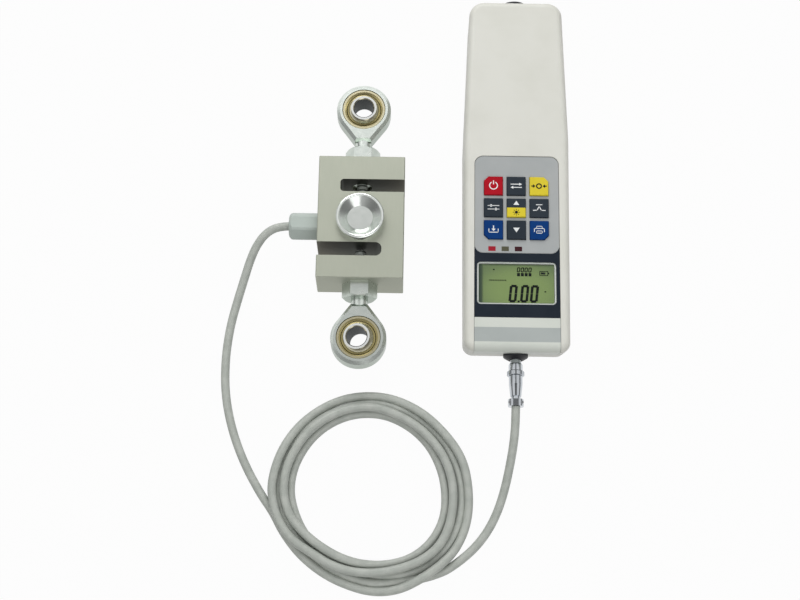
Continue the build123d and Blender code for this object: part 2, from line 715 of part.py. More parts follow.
def rod_end_body(eye_y, slot):
    """A forged eye that narrows to a neck, with a shank, a thread and a stop pin in the slot."""
    plane = eye_plane(eye_y)
    from_cell = abs(eye_y - CELL_Y)
    nut_reach = from_cell - CELL_LENGTH / 2 - NUT_THICK
    thread_reach = from_cell - CELL_LENGTH / 2 + THREAD_IN
    tip_reach = from_cell - slot[0] - TIP_GAP
    with BuildPart() as body:
        with BuildSketch(plane.offset(-EYE_THICK / 2)):
            Circle(EYE_RADIUS)
            with Locations((0, NECK_REACH - 0.5)):
                Rectangle(NECK_WIDTH, 1)
            make_hull()
        extrude(amount=EYE_THICK)
        ends = body.faces().sort_by(Axis.Z)
        chamfer(ends[0].edges() + ends[-1].edges(), EYE_EDGE)
        with BuildSketch(shank_plane(plane, NECK_REACH - 3)):
            Circle(SHANK_RADIUS)
        extrude(amount=nut_reach - NECK_REACH + 3)
        with BuildSketch(shank_plane(plane, nut_reach)):
            Circle(THREAD_RADIUS)
        extrude(amount=thread_reach - nut_reach)
        with BuildSketch(shank_plane(plane, thread_reach)):
            Circle(TIP_RADIUS)
        extrude(amount=tip_reach - thread_reach)
        chamfer(body.faces().filter_by(GeomType.PLANE).sort_by_distance(plane.origin)[-1].edges(), 0.6)
        with BuildSketch(plane.offset(-EYE_THICK / 2)):
            Circle(RACE_RADIUS)
        extrude(amount=EYE_THICK, mode=Mode.SUBTRACT)
    return body.part


def race(eye_y):
    """A bearing ring with bevelled mouths, its inside hollowed to a sphere."""
    half = RACE_THICK / 2
    deep = half - RACE_BEVEL
    throat = sqrt(RACE_SPHERE ** 2 - deep ** 2)
    mouth = throat + RACE_BEVEL
    with BuildPart() as ring:
        with BuildSketch(Plane(origin=(CELL_X, eye_y, CELL_MID_Z), x_dir=(1, 0, 0), z_dir=(0, -1, 0))):
            with BuildLine():
                ThreePointArc((throat, deep), (RACE_SPHERE, 0), (throat, -deep))
                Polyline(
                    (throat, -deep), (mouth, -half), (RACE_RADIUS - 0.4, -half), (RACE_RADIUS, 0.4 - half),
                    (RACE_RADIUS, half - 0.4), (RACE_RADIUS - 0.4, half), (mouth, half), (throat, deep),
                )
            make_face()
        revolve(axis=Axis((CELL_X, eye_y, 0), (0, 0, 1)))
    return ring.part


def ball(eye_y, lean):
    """A bored ball with flat faces, its top leaning towards -X by an angle."""
    half = BALL_WIDTH / 2
    rim = sqrt(BALL_RADIUS ** 2 - half ** 2)
    tilt = radians(lean)
    centre = (CELL_X, eye_y, CELL_MID_Z)
    with BuildPart() as bored:
        with BuildSketch(Plane(origin=centre, x_dir=(cos(tilt), 0, sin(tilt)), z_dir=(0, -1, 0))):
            with BuildLine():
                ThreePointArc((rim, half), (BALL_RADIUS, 0), (rim, -half))
                Polyline(
                    (rim, -half), (BALL_BORE + BALL_CHAMFER, -half), (BALL_BORE, BALL_CHAMFER - half),
                    (BALL_BORE, half - BALL_CHAMFER), (BALL_BORE + BALL_CHAMFER, half), (rim, half),
                )
            make_face()
        revolve(axis=Axis(centre, (-sin(tilt), 0, cos(tilt))))
    return bored.part


def jam_nut(face_y, outwards):
    """A hexagon nut on the shank with one flat facing up, its outer corners turned off."""
    with BuildPart() as nut:
        with BuildSketch(end_plane(CELL_X, face_y, CELL_MID_Z)):
            RegularPolygon(NUT_FLATS / 2, 6, major_radius=False, rotation=0)
        extrude(amount=outwards * NUT_THICK)
        with BuildSketch(turning_plane(CELL_X, face_y, CELL_MID_Z)):
            corner = NUT_FLATS / sqrt(3)
            with BuildLine():
                Polyline(
                    (0, 0), (0, corner), (outwards * (NUT_THICK - 1.3), corner),
                    (outwards * NUT_THICK, NUT_FLATS / 2 - 0.3), (outwards * NUT_THICK, 0), close=True,
                )
            make_face()
        revolve(axis=Axis((CELL_X, 0, CELL_MID_Z), (0, 1, 0)), mode=Mode.INTERSECT)
        with BuildSketch(end_plane(CELL_X, face_y, CELL_MID_Z)):
            Circle(THREAD_RADIUS)
        extrude(amount=outwards * NUT_THICK, mode=Mode.SUBTRACT)
    return nut.part


ROD_ENDS = (("upper", EYE_UPPER_Y, UPPER_SLOT, 0), ("lower", EYE_LOWER_Y, LOWER_SLOT, LOWER_BALL_LEAN))
for side, eye_y, slot, lean in ROD_ENDS:
    save(rod_end_body(eye_y, slot), f"{side}_rod_end")
    save(race(eye_y), f"{side}_race")
    save(ball(eye_y, lean), f"{side}_ball")
save(jam_nut(CELL_BACK, 1), "upper_jam_nut")
save(jam_nut(CELL_FRONT, -1), "lower_jam_nut")

# ---- cable gland ----------------------------------------------------------------------


def gland_section(x):
    """An upright plane across the gland, facing -X, at a distance along X."""
    return Plane(origin=(x, GLAND_Y, CELL_MID_Z), x_dir=(0, 1, 0), z_dir=(-1, 0, 0))


with BuildPart() as gland_body:
    with BuildSketch(gland_section(CELL_LEFT)):
        RegularPolygon(GLAND_FLATS / 2, 6, major_radius=False)
    extrude(amount=GLAND_BODY)
    with BuildSketch(gland_section(CELL_LEFT)):
        Circle(GLAND_CORNER)
    extrude(amount=GLAND_BODY, mode=Mode.INTERSECT)
    with BuildSketch(gland_section(CELL_LEFT + 6)):
        Circle(GLAND_THREAD)
    extrude(amount=6)
    with BuildSketch(gland_section(CELL_LEFT - GLAND_BODY)):
        Circle(GLAND_CORNER - 2.2)
    extrude(amount=6)
    with BuildSketch(gland_section(CELL_LEFT + 6)):
        Circle(CHANNEL_RADIUS)
    extrude(amount=GLAND_BODY + 12, mode=Mode.SUBTRACT)
save(gland_body.part, "gland_body")

with BuildPart() as gland_nut:
    with BuildSketch(gland_section(CELL_LEFT - GLAND_BODY)):
        RegularPolygon(GLAND_FLATS / 2, 6, major_radius=False)
    extrude(amount=GLAND_NUT)
    with BuildSketch(Plane(origin=(CELL_LEFT - GLAND_BODY, GLAND_Y, CELL_MID_Z), z_dir=(0, -1, 0), x_dir=(-1, 0, 0))):
        with BuildLine():
            Polyline((0, 0), (0, GLAND_CORNER), (GLAND_NUT - 3.2, GLAND_CORNER))
            ThreePointArc(
                (GLAND_NUT - 3.2, GLAND_CORNER), (GLAND_NUT - 0.9, GLAND_CORNER - 1.0), (GLAND_NUT, GLAND_CORNER - 3.4)
            )
            Polyline((GLAND_NUT, GLAND_CORNER - 3.4), (GLAND_NUT, 0), (0, 0))
        make_face()
    revolve(axis=Axis((0, GLAND_Y, CELL_MID_Z), (1, 0, 0)), mode=Mode.INTERSECT)
    with BuildSketch(gland_section(CELL_LEFT - GLAND_BODY)):
        Circle(GLAND_CORNER - 2.2)
    extrude(amount=GLAND_NUT - 3, mode=Mode.SUBTRACT)
    with BuildSketch(gland_section(GLAND_END + 3)):
        Circle(CORD_RADIUS)
    extrude(amount=3, mode=Mode.SUBTRACT)
save(gland_nut.part, "gland_nut")

with BuildPart() as gland_seal:
    with BuildSketch(gland_section(CELL_LEFT - GLAND_BODY - 6)):
        Circle(GLAND_CORNER - 2.2)
        Circle(CHANNEL_RADIUS, mode=Mode.SUBTRACT)
    extrude(amount=GLAND_NUT - 9)
save(gland_seal.part, "gland_seal")

# ---- cord -----------------------------------------------------------------------------

SENSOR_LEAD = (
    (GLAND_END + 3, GLAND_Y, CELL_MID_Z),
    (-88.8, GLAND_Y, CELL_MID_Z),
    (-96.8, -33.6, 13.1),
    (-102.5, -40.9, 10.9),
    (-106.4, -49.8, 7.9),
    (-109.6, -60.5, 4.9),
    (-113.2, -73.5, 2.9),
    (-116.8, -89.5, 2.5),
    (-118.7, -109.0, 2.5),
    (-117.9, -130.0, 2.5),
    (-113.2, -151.0, 2.5),
    (-105.0, -171.5, 2.5),
    (-94.6, -189.5, 2.5),
    (-86.6, -199.6, 2.5),
)

PLUG_LEAD = (
    (UNIT_X, PLUG_END, SOCKET_Z),
    (50.3, -149.5, 17.3),
    (49.3, -161.0, 14.8),
    (47.2, -173.5, 10.9),
    (44.4, -186.5, 6.9),
    (40.3, -199.0, 3.8),
    (34.2, -210.6, 2.5),
    (25.6, -220.9, 2.5),
    (14.0, -230.1, 2.5),
)


def lead_radii(points):
    """Each corner's arc is as large as its two runs allow."""
    corners = [Vector(*p) for p in points]
    radii = []
    for before, here, after in zip(corners, corners[1:], corners[2:]):
        turn = radians((here - before).get_angle(after - here))
        shorter = min((here - before).length, (after - here).length)
        radii.append(0.45 * shorter / tan(turn / 2))
    return radii


def lead(points, name):
    """A tube along straight runs joined by tangent arcs."""
    radii = lead_radii(points)
    with BuildPart() as tube:
        with BuildLine() as path:
            FilletPolyline(*points, radius=radii)
        with BuildSketch(Plane(origin=path.line @ 0, z_dir=path.line % 0)):
            Circle(CORD_RADIUS)
        sweep()
    length = path.wires()[0].length
    section = 3.14159 * CORD_RADIUS ** 2
    print(name, "radii", [round(r) for r in radii], "length", round(length, 1),
          "volume ratio", round(tube.part.volume / (section * length), 4))
    save(tube.part, name)


lead(SENSOR_LEAD, "sensor_lead")
lead(PLUG_LEAD, "plug_lead")

with BuildPart() as cord_coil:
    with BuildSketch(Plane(origin=(COIL_X, COIL_Y, 0))):
        Ellipse(*COIL_OUTER, rotation=COIL_TILT)
        with Locations(COIL_INNER_SHIFT):
            Ellipse(*COIL_INNER, rotation=COIL_TILT, mode=Mode.SUBTRACT)
    extrude(amount=COIL_HEIGHT)
    chamfer(cord_coil.faces().sort_by(Axis.Z)[-1].edges(), COIL_EDGE)
save(cord_coil.part, "cord_coil")

# ---- plug -----------------------------------------------------------------------------

PLUG_AXIS = Axis((UNIT_X, 0, SOCKET_Z), (0, 1, 0))
PLUG_NOSE_Y = PLUG_FACE_Y + 4.3
SOCKET_FLOOR_Y = PLUG_FACE_Y + 8
SLEEVE_FRONT_Y = -114.3
RING_BACK_Y = -121.5
BARREL_END_Y = -133.6

with BuildPart() as plug_ring:
    with BuildSketch(turning_plane(UNIT_X, 0, SOCKET_Z)):
        with BuildLine():
            Polyline(
                (SLEEVE_FRONT_Y, RING_BORE), (SLEEVE_FRONT_Y, SLEEVE_RADIUS - 0.5),
                (SLEEVE_FRONT_Y - 0.6, SLEEVE_RADIUS), (RING_BACK_Y + 3.0, SLEEVE_RADIUS),
                (RING_BACK_Y + 2.7, RING_RADIUS - 0.3), (RING_BACK_Y + 2.4, RING_RADIUS),
                (RING_BACK_Y + 0.3, RING_RADIUS), (RING_BACK_Y, RING_RADIUS - 0.3), (RING_BACK_Y, RING_BORE),
                close=True,
            )
        make_face()
    revolve(axis=PLUG_AXIS)
    with BuildSketch(end_plane(UNIT_X, RING_BACK_Y - 0.1, SOCKET_Z)):
        with PolarLocations(RING_RADIUS + 0.25, 20):
            Rectangle(1.0, 0.5, rotation=0)
    extrude(amount=2.6, mode=Mode.SUBTRACT)
save(plug_ring.part, "plug_ring")

with BuildPart() as plug_barrel:
    with BuildSketch(turning_plane(UNIT_X, 0, SOCKET_Z)):
        with BuildLine():
            Polyline(
                (PLUG_NOSE_Y, 0), (PLUG_NOSE_Y, PLUG_CORE - 0.3), (PLUG_NOSE_Y - 0.3, PLUG_CORE),
                (RING_BACK_Y - 0.2, PLUG_CORE),
                (RING_BACK_Y - 0.2, BARREL_RADIUS), (RING_BACK_Y - 5, BARREL_RADIUS), (BARREL_END_Y, BARREL_TIP),
                (BARREL_END_Y, 0), close=True,
            )
        make_face()
    revolve(axis=PLUG_AXIS)
save(plug_barrel.part, "plug_barrel")

CONTACT_PLACES = [(1.5, 1.5), (-1.5, 1.5), (-1.5, -1.5), (1.5, -1.5)]

with BuildPart() as plug_contacts:
    with BuildSketch(end_plane(UNIT_X, PLUG_NOSE_Y, SOCKET_Z)):
        with Locations(*CONTACT_PLACES):
            Circle(0.45)
    extrude(amount=3.4)
save(plug_contacts.part, "plug_contacts")

with BuildPart() as socket_contacts:
    with BuildSketch(end_plane(UNIT_X, SOCKET_FLOOR_Y, SOCKET_Z)):
        with Locations(*CONTACT_PLACES):
            Circle(0.9)
            Circle(0.5, mode=Mode.SUBTRACT)
    extrude(amount=PLUG_NOSE_Y + 0.3 - SOCKET_FLOOR_Y)
save(socket_contacts.part, "socket_contacts")

CLAMP_FRONT_Y = -135.4
CLAMP_SCREW_Z = SOCKET_Z + 0.9
CLAMP_SCREWS = [(side * 3.55, (PLUG_END + CLAMP_FRONT_Y) / 2) for side in (-1, 1)]
with BuildPart() as plug_clamp:
    with BuildSketch(end_plane(UNIT_X, BARREL_END_Y, SOCKET_Z)):
        Circle(BARREL_TIP - 0.5)
    with BuildSketch(end_plane(UNIT_X, CLAMP_FRONT_Y, SOCKET_Z)):
        Circle(BARREL_TIP - 0.2)
    loft()
    with BuildSketch(end_plane(UNIT_X, PLUG_END, SOCKET_Z)):
        SlotOverall(9.0, 6.4)
    extrude(amount=CLAMP_FRONT_Y - PLUG_END)
    with BuildSketch(end_plane(UNIT_X, PLUG_END, SOCKET_Z)):
        Circle(CORD_RADIUS)
    extrude(amount=2.0, mode=Mode.SUBTRACT)
    with BuildSketch(unit_plane(CLAMP_SCREW_Z)):
        with Locations(*CLAMP_SCREWS):
            Circle(0.8)
    extrude(amount=5, mode=Mode.SUBTRACT)
save(plug_clamp.part, "plug_clamp")

with BuildPart() as clamp_screws:
    with BuildSketch(unit_plane(CLAMP_SCREW_Z)):
        with Locations(*CLAMP_SCREWS):
            Circle(0.8)
    extrude(amount=2.0)
save(clamp_screws.part, "clamp_screws")
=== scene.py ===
"""The looks of a force gauge: its cord, the prints on its keys and display, and its finishes."""

import json
from math import cos, hypot, pi, radians, sin

import bmesh
import bpy
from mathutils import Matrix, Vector


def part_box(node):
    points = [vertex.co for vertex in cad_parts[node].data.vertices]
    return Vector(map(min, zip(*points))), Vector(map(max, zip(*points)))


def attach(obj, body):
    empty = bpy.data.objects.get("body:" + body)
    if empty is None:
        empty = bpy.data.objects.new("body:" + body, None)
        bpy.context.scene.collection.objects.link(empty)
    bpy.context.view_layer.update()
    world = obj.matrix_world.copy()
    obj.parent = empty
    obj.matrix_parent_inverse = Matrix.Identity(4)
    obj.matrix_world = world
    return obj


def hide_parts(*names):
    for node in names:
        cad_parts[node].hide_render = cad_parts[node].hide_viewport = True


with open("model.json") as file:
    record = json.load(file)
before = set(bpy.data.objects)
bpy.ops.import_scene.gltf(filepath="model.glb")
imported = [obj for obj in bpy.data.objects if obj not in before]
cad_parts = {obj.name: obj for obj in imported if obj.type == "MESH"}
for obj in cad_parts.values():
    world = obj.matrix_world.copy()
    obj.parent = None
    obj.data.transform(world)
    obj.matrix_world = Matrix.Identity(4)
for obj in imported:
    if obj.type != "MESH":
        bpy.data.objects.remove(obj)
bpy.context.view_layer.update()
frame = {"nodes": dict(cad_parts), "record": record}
nodes = frame["nodes"]

MM = 0.001


def middle(node):
    """The middle of a node's box, in millimetres."""
    low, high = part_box(node)
    return [(start + stop) / 2 / MM for start, stop in zip(low, high)]


def top(node):
    """How high a node reaches, in millimetres."""
    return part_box(node)[1][2] / MM


# ---- camera -------------------------------------------------------------------------

CAMERA_PLACE = (-0.01165, -0.3885, 0.9598)
CAMERA_TILT = 18.34
CAMERA_TURN = 0.95
CAMERA_LENS = 76.5


def set_camera():
    """Looks down on the table from beyond the plug end, 18 degrees from straight down."""
    camera = bpy.data.objects.new("camera", bpy.data.cameras.new("camera"))
    camera.data.sensor_width = 36
    camera.data.lens = CAMERA_LENS
    camera.data.clip_start = 0.01
    camera.data.clip_end = 50
    camera.location = CAMERA_PLACE
    camera.rotation_euler = (radians(CAMERA_TILT), 0, radians(CAMERA_TURN))
    bpy.context.collection.objects.link(camera)
    bpy.context.scene.camera = camera


set_camera()

# ---- cord ---------------------------------------------------------------------------

SENSOR_LEAD = (
    (-80.45, -29.9, 14.1),
    (-88.8, -29.9, 14.1),
    (-96.8, -33.6, 13.1),
    (-102.5, -40.9, 10.9),
    (-106.4, -49.8, 7.9),
    (-109.6, -60.5, 4.9),
    (-113.2, -73.5, 2.9),
    (-116.8, -89.5, 2.5),
    (-118.7, -109.0, 2.5),
    (-117.9, -130.0, 2.5),
    (-113.2, -151.0, 2.5),
    (-105.0, -171.5, 2.5),
    (-94.6, -189.5, 2.5),
)
PLUG_LEAD = (
    (50.45, -139.5, 18.0),
    (50.3, -149.5, 17.3),
    (49.3, -161.0, 14.8),
    (47.2, -173.5, 10.9),
    (44.4, -186.5, 6.9),
    (40.3, -199.0, 3.8),
    (34.2, -210.6, 2.5),
    (25.6, -220.9, 2.5),
    (14.0, -230.1, 2.5),
)
CORD_DIAMETER = 5.0

COIL_CENTRE = (-30.4, -187.5)
# Loose turns laid by hand: the running angle in degrees, and the radius and height of the cord's
# middle there. A height of half the cord is on the table, and about 7 mm is on the turns below.
COIL_TURNS = (
    (192, 58.0, 2.5), (205, 56.0, 2.5), (222, 54.6, 2.5), (240, 54.2, 2.5), (256, 54.9, 2.6),
    (271, 57.0, 3.0), (285, 58.0, 5.4), (298, 57.2, 7.6), (311, 57.1, 7.7), (325, 57.6, 3.8),
    (342, 56.8, 2.8), (360, 55.1, 5.5), (381, 55.2, 5.6), (402, 53.6, 6.5), (423, 55.0, 5.5),
    (445, 57.7, 2.7), (468, 58.9, 2.5), (491, 58.8, 2.7), (513, 58.3, 6.8), (535, 58.7, 7.0),
    (550, 57.3, 7.2), (562, 55.7, 7.4), (574, 53.3, 7.5), (587, 49.4, 7.5), (602, 48.7, 7.5),
    (622, 47.8, 7.2), (646, 47.5, 7.5), (671, 49.7, 7.2), (692, 49.2, 6.6), (720, 46.8, 6.0),
    (745, 46.0, 7.1), (770, 45.8, 7.2), (792, 47.0, 7.1), (812, 50.3, 7.1), (834, 51.4, 7.1),
    (858, 52.0, 6.8), (882, 52.1, 6.5), (902, 51.6, 6.4), (918, 49.5, 6.2), (932, 46.1, 7.0),
    (948, 43.5, 7.2), (966, 42.5, 7.2), (983, 42.0, 4.5), (1002, 42.5, 2.5), (1022, 44.0, 2.5),
    (1042, 44.2, 2.5), (1062, 43.3, 2.5), (1082, 41.7, 2.5), (1102, 41.7, 2.5), (1124, 43.1, 2.5),
    (1146, 44.8, 2.5), (1167, 47.1, 2.5), (1190, 48.4, 2.5), (1214, 48.7, 2.5), (1238, 48.4, 2.5),
    (1258, 48.0, 2.5), (1275, 46.4, 2.5), (1293, 45.8, 2.5), (1314, 45.4, 2.5), (1336, 46.0, 2.5),
    (1357, 48.0, 2.5), (1373, 50.4, 2.5), (1388, 52.6, 2.5), (1405, 52.8, 2.5), (1424, 52.1, 2.5),
    (1446, 51.5, 2.5), (1470, 50.9, 2.5), (1490, 50.2, 2.5), (1510, 51.6, 2.5), (1532, 53.4, 2.5),
    (1557, 53.8, 2.5), (1583, 54.9, 2.5), (1607, 55.5, 2.5), (1626, 54.4, 2.5), (1642, 52.0, 2.5),
    (1658, 50.1, 2.5), (1678, 49.8, 2.5), (1696, 50.3, 2.5), (1712, 52.3, 2.5), (1726, 53.2, 2.5),
    (1739, 56.1, 2.5), (1749, 59.2, 2.5),
)


def coil_points():
    """Loose turns: some lie on the table and the others in the grooves between them."""
    points = []
    for angle, radius, height in COIL_TURNS:
        turn = radians(angle)
        points.append((COIL_CENTRE[0] + radius * cos(turn), COIL_CENTRE[1] + radius * sin(turn), height))
    return points


def make_cord():
    """One smooth cord from the gland, round the coil and up into the plug's clamp."""
    route = list(SENSOR_LEAD) + coil_points() + list(reversed(PLUG_LEAD))
    curve = bpy.data.curves.new("cord", "CURVE")
    curve.dimensions = "3D"
    curve.bevel_depth = 1.0
    curve.bevel_resolution = 5
    spline = curve.splines.new("NURBS")
    spline.points.add(len(route) - 1)
    for point, (x, y, z) in zip(spline.points, route):
        point.co = (x * MM, y * MM, z * MM, 1)
        point.radius = CORD_DIAMETER / 2 * MM
    spline.order_u = 3
    spline.use_endpoint_u = True
    spline.resolution_u = 8
    cord = bpy.data.objects.new("cord", curve)
    bpy.context.collection.objects.link(cord)
    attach(cord, "instrument")
    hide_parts("sensor_lead", "cord_coil", "plug_lead")
    return cord


cord = make_cord()

# ---- shader arithmetic --------------------------------------------------------------


def tone(red, green, blue):
    """A colour written in 0 to 255 as a screen shows it, for a shader."""
    def linear(value):
        share = value / 255
        return share / 12.92 if share <= 0.04045 else ((share + 0.055) / 1.055) ** 2.4
    return (linear(red), linear(green), linear(blue), 1.0)


class Signal:
    """A value in a finish, which takes Python's arithmetic."""

    def __init__(self, finish, socket):
        self.finish = finish
        self.socket = socket

    def maths(self, operation, *values):
        return self.finish.node("ShaderNodeMath", *values, operation=operation)

    def __add__(self, other):
        return self.maths("ADD", self, other)

    def __sub__(self, other):
        return self.maths("SUBTRACT", self, other)

    def __rsub__(self, other):
        return self.maths("SUBTRACT", other, self)

    def __mul__(self, other):
        return self.maths("MULTIPLY", self, other)

    def __truediv__(self, other):
        return self.maths("DIVIDE", self, other)

    def __pow__(self, other):
        return self.maths("POWER", self, other)

    def above(self, limit):
        return self.maths("GREATER_THAN", self, limit)

    def below(self, limit):
        return self.maths("LESS_THAN", self, limit)

    def wave(self):
        return self.maths("SINE", self)

    def size(self):
        return self.maths("ABSOLUTE", self)

    def either(self, other):
        return self.maths("MAXIMUM", self, other)

    def ramp(self, low, high):
        """0 below low, 1 above high, and smooth between."""
        return self.finish.node(
            "ShaderNodeMapRange", self, low, high, 0.0, 1.0, interpolation_type="SMOOTHSTEP"
        )


class Finish:
    """A material, the nodes that vary over its surface, and the shader that they feed."""

    def __init__(self, name):
        self.material = bpy.data.materials.new(name)
        self.material.use_nodes = True
        self.tree = self.material.node_tree
        self.shader = self.tree.nodes["Principled BSDF"]

    def feed(self, socket, value):
        if isinstance(value, Signal):
            self.tree.links.new(value.socket, socket)
        else:
            socket.default_value = value

    def node(self, kind, *values, output=0, named=None, **settings):
        """Any node: values go to its sockets in order, or by name, and one output comes back."""
        made = self.tree.nodes.new(kind)
        for name, setting in settings.items():
            setattr(made, name, setting)
        for socket, value in zip(made.inputs, values):
            self.feed(socket, value)
        for name, value in (named or {}).items():
            self.feed(made.inputs[name], value)
        return Signal(self, made.outputs[output])

    def place(self, stretch=(1, 1, 1)):
        """Where a point is in the part's frame, in millimetres, stretched along each axis."""
        where = self.node("ShaderNodeTexCoord", output="Object")
        factors = tuple(value / MM for value in stretch)
        return self.node("ShaderNodeVectorMath", where, factors, operation="MULTIPLY")

    def along(self, axis):
        """One coordinate in the part's frame, in millimetres."""
        return self.node("ShaderNodeSeparateXYZ", self.place(), output=axis)

    def facing_up(self):
        """How far the surface faces up: 1 on a flat top, 0 on a wall."""
        facing = self.node("ShaderNodeNewGeometry", output="Normal")
        return self.node("ShaderNodeSeparateXYZ", facing, output="Z")

    def noise(self, grain, detail=2.0, roughness=0.5, stretch=(1, 1, 1)):
        """Smooth random patches about one grain across, in millimetres."""
        return self.node(
            "ShaderNodeTexNoise", output="Fac",
            named={
                "Vector": self.place(stretch), "Scale": 1 / grain, "Detail": detail, "Roughness": roughness,
            },
        )

    def mix(self, factor, low, high):
        """Two colours mixed by a factor."""
        made = self.tree.nodes.new("ShaderNodeMix")
        made.data_type = "RGBA"
        for name, value in (("Factor_Float", factor), ("A_Color", low), ("B_Color", high)):
            socket = next(s for s in made.inputs if s.identifier == name)
            self.feed(socket, value)
        return Signal(self, next(s for s in made.outputs if s.identifier == "Result_Color"))

    def bump(self, height, depth):
        """The surface raised by height times depth, in millimetres."""
        return self.node("ShaderNodeBump", named={"Height": height, "Distance": depth * MM, "Strength": 1.0})

    def use(self, **sockets):
        """Sets the shader's sockets by name, and gives the material back."""
        for name, value in sockets.items():
            self.feed(self.shader.inputs[name.replace("_", " ")], value)
        return self.material


# ---- finishes -----------------------------------------------------------------------

CELL_X, CELL_Y, AXIS_HEIGHT = middle("sensor_body")
CELL_TOP = top("sensor_body")
CELL_REACH = 45
UPPER_EYE_Y = middle("upper_race")[1]
LOWER_EYE_Y = middle("lower_race")[1]

# each slot's middle and half its width, from the cell's centre, and how far in the slots go
UPPER_SLOT = (19.55, 4.1)
LOWER_SLOT = (-20.3, 4.35)
SLOT_END = 12.7
CELL_EDGE = 0.3

SHANK_BAND = (5.7, 6.1)
THREAD_PITCH = 1.75
THREAD_DEPTH = 0.2
TIP_RADIUS = 3.5
TIP_RING_PITCH = 2.6
BORE_EDGE = 7.4

SLATE = tone(50, 58, 66)
YELLOW = tone(222, 203, 58)

# the display: where it glows most and how far that reaches, and where its bezel's shadow fades
GLOW_CENTRE = (52.0, -75.0)
GLOW_REACH = (24, 15)
LEFT_SHADOW = (29.6, 31.6)
TOP_SHADOW = (-60.6, -59.2)


def moulded(name, colour, shade, roughness=0.42, grain=0.5):
    """Moulded plastic with a fine spark-eroded grain and faint uneven tone."""
    finish = Finish(name)
    tint = finish.mix(finish.noise(28, 3).ramp(0.35, 0.7), colour, shade)
    sheen = finish.noise(9, 3) * 0.10 + (roughness - 0.05)
    skin = finish.bump(finish.noise(grain, 2, 0.6), 0.012)
    return finish.use(Base_Color=tint, Roughness=sheen, Normal=skin, Specular_IOR_Level=0.35)


def film(name, colour, shade, roughness=0.5):
    """Printed polyester film with a very fine matt texture."""
    finish = Finish(name)
    tint = finish.mix(finish.noise(14, 2).ramp(0.3, 0.7), colour, shade)
    skin = finish.bump(finish.noise(0.35, 1), 0.006)
    sheen = finish.noise(6, 2) * 0.08 + (roughness - 0.04)
    return finish.use(Base_Color=tint, Roughness=sheen, Normal=skin, Specular_IOR_Level=0.08)


def metal(name, colour, shade, roughness=0.3, grain=6.0, depth=0.004):
    """Plated or ground metal with faint cloudy patches."""
    finish = Finish(name)
    patches = finish.noise(grain, 4, 0.6)
    tint = finish.mix(patches.ramp(0.3, 0.7), colour, shade)
    sheen = patches * 0.14 + (roughness - 0.07)
    skin = finish.bump(patches, depth)
    return finish.use(Base_Color=tint, Roughness=sheen, Metallic=1.0, Normal=skin)


def cell_steel():
    """The cell's satin nickel plating, with painted shade on the walls of its two slots, lighter towards
    their open ends, and painted shade on its side faces.
    """
    finish = Finish("cell_steel")
    streaks = finish.noise(1.4, 4, 0.6, (1, 0.12, 1))
    patches = finish.noise(22, 2)
    across = finish.along("X") - CELL_X
    along = finish.along("Y") - CELL_Y
    height = finish.along("Z")
    upper = (along - UPPER_SLOT[0]).size().below(UPPER_SLOT[1]) * across.above(-SLOT_END)
    lower = (along - LOWER_SLOT[0]).size().below(LOWER_SLOT[1]) * across.below(SLOT_END)
    # the slot walls, which get painted shade
    walls = upper.either(lower) * height.below(CELL_TOP - CELL_EDGE) * height.above(CELL_EDGE)
    # the painted shade lightens from deep in each slot towards its open end
    open_end = (across * (upper - lower)).ramp(4.0, 25.0)
    top = finish.mix(streaks * 0.3 + patches * 0.7, tone(189, 192, 178), tone(177, 181, 167))
    # painted shade: faces turned away from up are darker than the top
    side_shaded_plate = finish.mix(finish.facing_up().ramp(0.3, 0.9), tone(162, 165, 152), top)
    # painted shade on the slot walls
    painted_slot_shade = finish.mix(open_end, tone(66, 70, 60), tone(96, 94, 82))
    tint = finish.mix(walls, side_shaded_plate, painted_slot_shade)
    skin = finish.bump(streaks, 0.003)
    return finish.use(Base_Color=tint, Roughness=streaks * 0.08 + 0.5, Metallic=1.0, Normal=skin)


def threaded_steel():
    """Zinc-plated steel: screw threads where the shanks enter the nuts; on the tips a painted highlight, a
    paler and less metallic grey, crossed by rings of painted shade; side faces painted darker as shade.
    """
    finish = Finish("zinc_steel")
    across = finish.along("X") - CELL_X
    up = finish.along("Z") - AXIS_HEIGHT
    along = finish.along("Y")
    radius = (across * across + up * up) ** 0.5
    turn = finish.node("ShaderNodeMath", up, across, operation="ARCTAN2")
    ridges = (along * (2 * pi / THREAD_PITCH) + turn).wave()
    on_shank = radius.below(SHANK_BAND[1]) * radius.above(SHANK_BAND[0])
    in_cell = (along - CELL_Y).size().below(CELL_REACH)
    # the tips in the slots carry a painted highlight: a paler grey, made less metallic below
    tip = radius.below(TIP_RADIUS) * in_cell
    # rings of painted shade along the tips, as in thread grooves
    grooves = tip * (along * (2 * pi / TIP_RING_PITCH)).wave().ramp(0.2, 0.7)
    patches = finish.noise(4, 3, 0.5)
    top = finish.mix(patches.ramp(0.35, 0.65), tone(234, 240, 234), tone(222, 229, 223))
    # painted shade: faces turned away from up are darker than the top
    side_shaded_plate = finish.mix(finish.facing_up().ramp(0.1, 0.85), tone(156, 166, 156), top)
    # the tips' painted highlight and their rings of painted shade laid over the plating
    tint = finish.mix(grooves, finish.mix(tip, side_shaded_plate, tone(214, 220, 214)), tone(108, 114, 108))
    skin = finish.bump(ridges * on_shank * in_cell, THREAD_DEPTH)
    fine = finish.node(
        "ShaderNodeBump",
        named={"Height": patches, "Distance": 0.02 * MM, "Strength": 1.0, "Normal": skin},
    )
    # the tips made less metallic for their painted highlight
    return finish.use(
        Base_Color=tint, Roughness=patches * 0.1 + 0.24, Metallic=1 - tip * 0.7, Normal=fine,
    )


